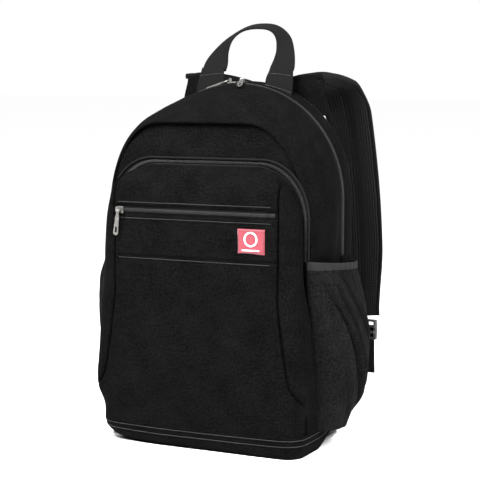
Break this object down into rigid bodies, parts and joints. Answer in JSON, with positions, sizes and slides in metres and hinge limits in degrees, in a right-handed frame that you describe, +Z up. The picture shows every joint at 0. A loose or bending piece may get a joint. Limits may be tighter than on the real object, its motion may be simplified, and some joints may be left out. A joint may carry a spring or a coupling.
{
  "type": "school backpack",
  "caption": "Black canvas school backpack with a zipped main compartment, a front organiser, side pockets, a haul handle and padded shoulder straps.",
  "frame": {"origin": "centre of the flat base that the bag stands on", "axes": "+Z up, -Y towards the front organiser pocket, +Y towards the shoulder straps, +X to the right as seen from the front"},
  "size_m": [0.36, 0.336, 0.558],
  "materials": {
    "canvas_black": "matt plain-weave polyester canvas",
    "air_mesh": "matt spacer mesh over foam",
    "webbing_black": "ribbed woven webbing",
    "elastic_grey": "fine ribbed folded elastic",
    "zipper_tape": "herringbone tape with a nylon coil",
    "lining_grey": "smooth coated lining",
    "board": "matt moulded board",
    "nickel": "satin nickel plate",
    "buckle_plastic": "fine-grained acetal",
    "label_red": "woven damask label"
  },
  "bodies": {
    "bag": {"base_panel": "canvas_black", "hem_band": "canvas_black", "base_stiffener": "board", "front_panel": "canvas_black", "gusset_left": "canvas_black", "gusset_right": "canvas_black", "main_zipper": "zipper_tape", "back_gusset": "canvas_black", "back_panel": "air_mesh", "back_foam": "lining_grey", "laptop_sleeve": "lining_grey", "sleeve_strap": "webbing_black", "organiser_lower": "canvas_black", "organiser_zipper": "zipper_tape", "pen_pockets": "lining_grey", "side_pocket_left": "canvas_black", "side_pocket_right": "canvas_black", "pocket_elastic_left": "elastic_grey", "pocket_elastic_right": "elastic_grey", "handle_anchor_left": "canvas_black", "handle_anchor_right": "canvas_black", "strap_yoke": "canvas_black", "strap_root_left": "canvas_black", "strap_root_right": "canvas_black", "back_pad_left": "air_mesh", "back_pad_right": "air_mesh", "anchor_tab_left": "canvas_black", "anchor_tab_right": "canvas_black"},
    "lid": {"lid_panel": "canvas_black"},
    "organiser_flap": {"organiser_flap": "canvas_black", "front_zipper": "zipper_tape", "front_pocket_lining": "lining_grey", "label": "label_red"},
    "main_slider_left": {"main_slider_left": "nickel"},
    "main_pull_left": {"main_pull_left": "nickel"},
    "main_slider_right": {"main_slider_right": "nickel"},
    "main_pull_right": {"main_pull_right": "nickel"},
    "organiser_slider": {"organiser_slider": "nickel"},
    "organiser_pull": {"organiser_pull": "nickel"},
    "front_slider": {"front_slider": "nickel"},
    "front_pull": {"front_pull": "nickel"},
    "haul_handle": {"haul_handle": "canvas_black"},
    "strap_left": {"strap_left": "air_mesh", "ladder_lock_left": "buckle_plastic", "webbing_left": "webbing_black"},
    "webbing_tail_left": {"webbing_tail_left": "webbing_black"},
    "strap_right": {"strap_right": "air_mesh", "ladder_lock_right": "buckle_plastic", "webbing_right": "webbing_black"},
    "webbing_tail_right": {"webbing_tail_right": "webbing_black"}
  },
  "joints": [
    {"name": "main_lid_open", "type": "hinge", "parent": "bag", "child": "lid", "pos_m": [0, -0.047, 0.4], "axis": [1, 0, 0], "range_deg": [0, 50]},
    {"name": "main_slider_left_travel", "type": "hinge", "parent": "bag", "child": "main_slider_left", "pos_m": [0, 0.0502, 0.324], "axis": [0, -1, 0], "range_deg": [0, 64]},
    {"name": "main_slider_right_travel", "type": "hinge", "parent": "bag", "child": "main_slider_right", "pos_m": [0, 0.0502, 0.324], "axis": [0, 1, 0], "range_deg": [0, 71]},
    {"name": "main_pull_left_swing", "type": "hinge", "parent": "main_slider_left", "child": "main_pull_left", "pos_m": [-0.01508, 0.0502, 0.48058], "axis": [-0.5275, 0.848, -0.0508], "range_deg": [0, 110]},
    {"name": "main_pull_right_swing", "type": "hinge", "parent": "main_slider_right", "child": "main_pull_right", "pos_m": [0.00275, 0.0502, 0.48128], "axis": [-0.9395, -0.342, 0.0164], "range_deg": [0, 110]},
    {"name": "organiser_flap_open", "type": "hinge", "parent": "bag", "child": "organiser_flap", "pos_m": [0, -0.087, 0.251], "axis": [1, 0, 0], "range_deg": [0, 35]},
    {"name": "organiser_slider_travel", "type": "slide", "parent": "bag", "child": "organiser_slider", "axis": [0, 0, 1], "range_m": [0, 0.03]},
    {"name": "organiser_pull_swing", "type": "hinge", "parent": "organiser_slider", "child": "organiser_pull", "pos_m": [-0.1432, -0.0553, 0.26], "axis": [-1, 0, 0], "range_deg": [0, 100]},
    {"name": "front_slider_travel", "type": "slide", "parent": "organiser_flap", "child": "front_slider", "axis": [1, 0, 0], "range_m": [0, 0.2]},
    {"name": "front_pull_swing", "type": "hinge", "parent": "front_slider", "child": "front_pull", "pos_m": [-0.108, -0.0939, 0.311], "axis": [-0.9903, 0, 0.1392], "range_deg": [0, 100]},
    {"name": "haul_handle_fold", "type": "hinge", "parent": "bag", "child": "haul_handle", "pos_m": [0, 0.07, 0.493], "axis": [1, 0, 0], "range_deg": [-8, 42]},
    {"name": "strap_left_lift", "type": "hinge", "parent": "bag", "child": "strap_left", "pos_m": [-0.082, 0.091, 0.479], "axis": [1, 0, 0], "range_deg": [0, 25]},
    {"name": "webbing_tail_left_slide", "type": "slide", "parent": "strap_left", "child": "webbing_tail_left", "axis": [0, 0, 1], "range_m": [0, 0.018]},
    {"name": "strap_right_lift", "type": "hinge", "parent": "bag", "child": "strap_right", "pos_m": [0.082, 0.091, 0.479], "axis": [1, 0, 0], "range_deg": [0, 25]},
    {"name": "webbing_tail_right_slide", "type": "slide", "parent": "strap_right", "child": "webbing_tail_right", "axis": [0, 0, 1], "range_m": [0, 0.018]}
  ],
  "couplings": [
    {"joint": "main_slider_left_travel", "follows": "main_lid_open", "ratio": 1.27},
    {"joint": "main_slider_right_travel", "follows": "main_lid_open", "ratio": 1.41}
  ]
}
